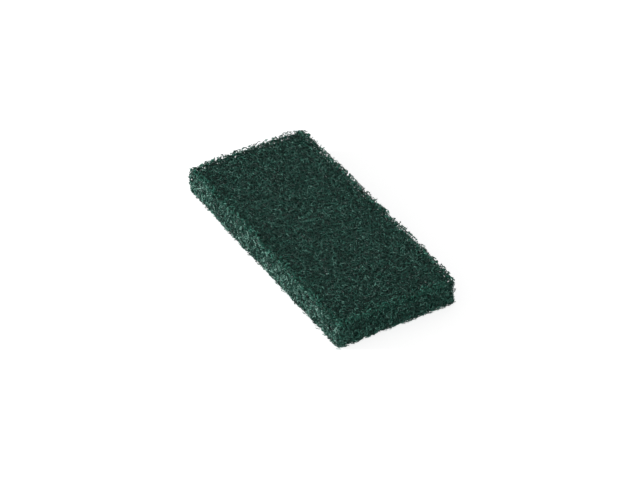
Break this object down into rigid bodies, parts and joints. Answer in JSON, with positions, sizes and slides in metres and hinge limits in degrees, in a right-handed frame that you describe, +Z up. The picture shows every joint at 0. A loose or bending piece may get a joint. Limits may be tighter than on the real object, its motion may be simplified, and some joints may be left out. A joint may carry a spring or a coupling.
{
  "type": "nylon scouring pad",
  "caption": "Thick rectangular scouring pad of dark green nonwoven nylon web, with ragged cut sides and two like scrubbing faces.",
  "frame": {"origin": "centre of the lower face, on the surface the pad lies on", "axes": "+X along the pad's length, +Y across its width, +Z up through its thickness"},
  "size_m": [0.254, 0.118, 0.026],
  "materials": {
    "nylon_web": "matte, lofty nonwoven web of crimped, resin-bonded fibres"
  },
  "bodies": {
    "root": {"scouring_pad": "nylon_web"}
  },
  "joints": []
}
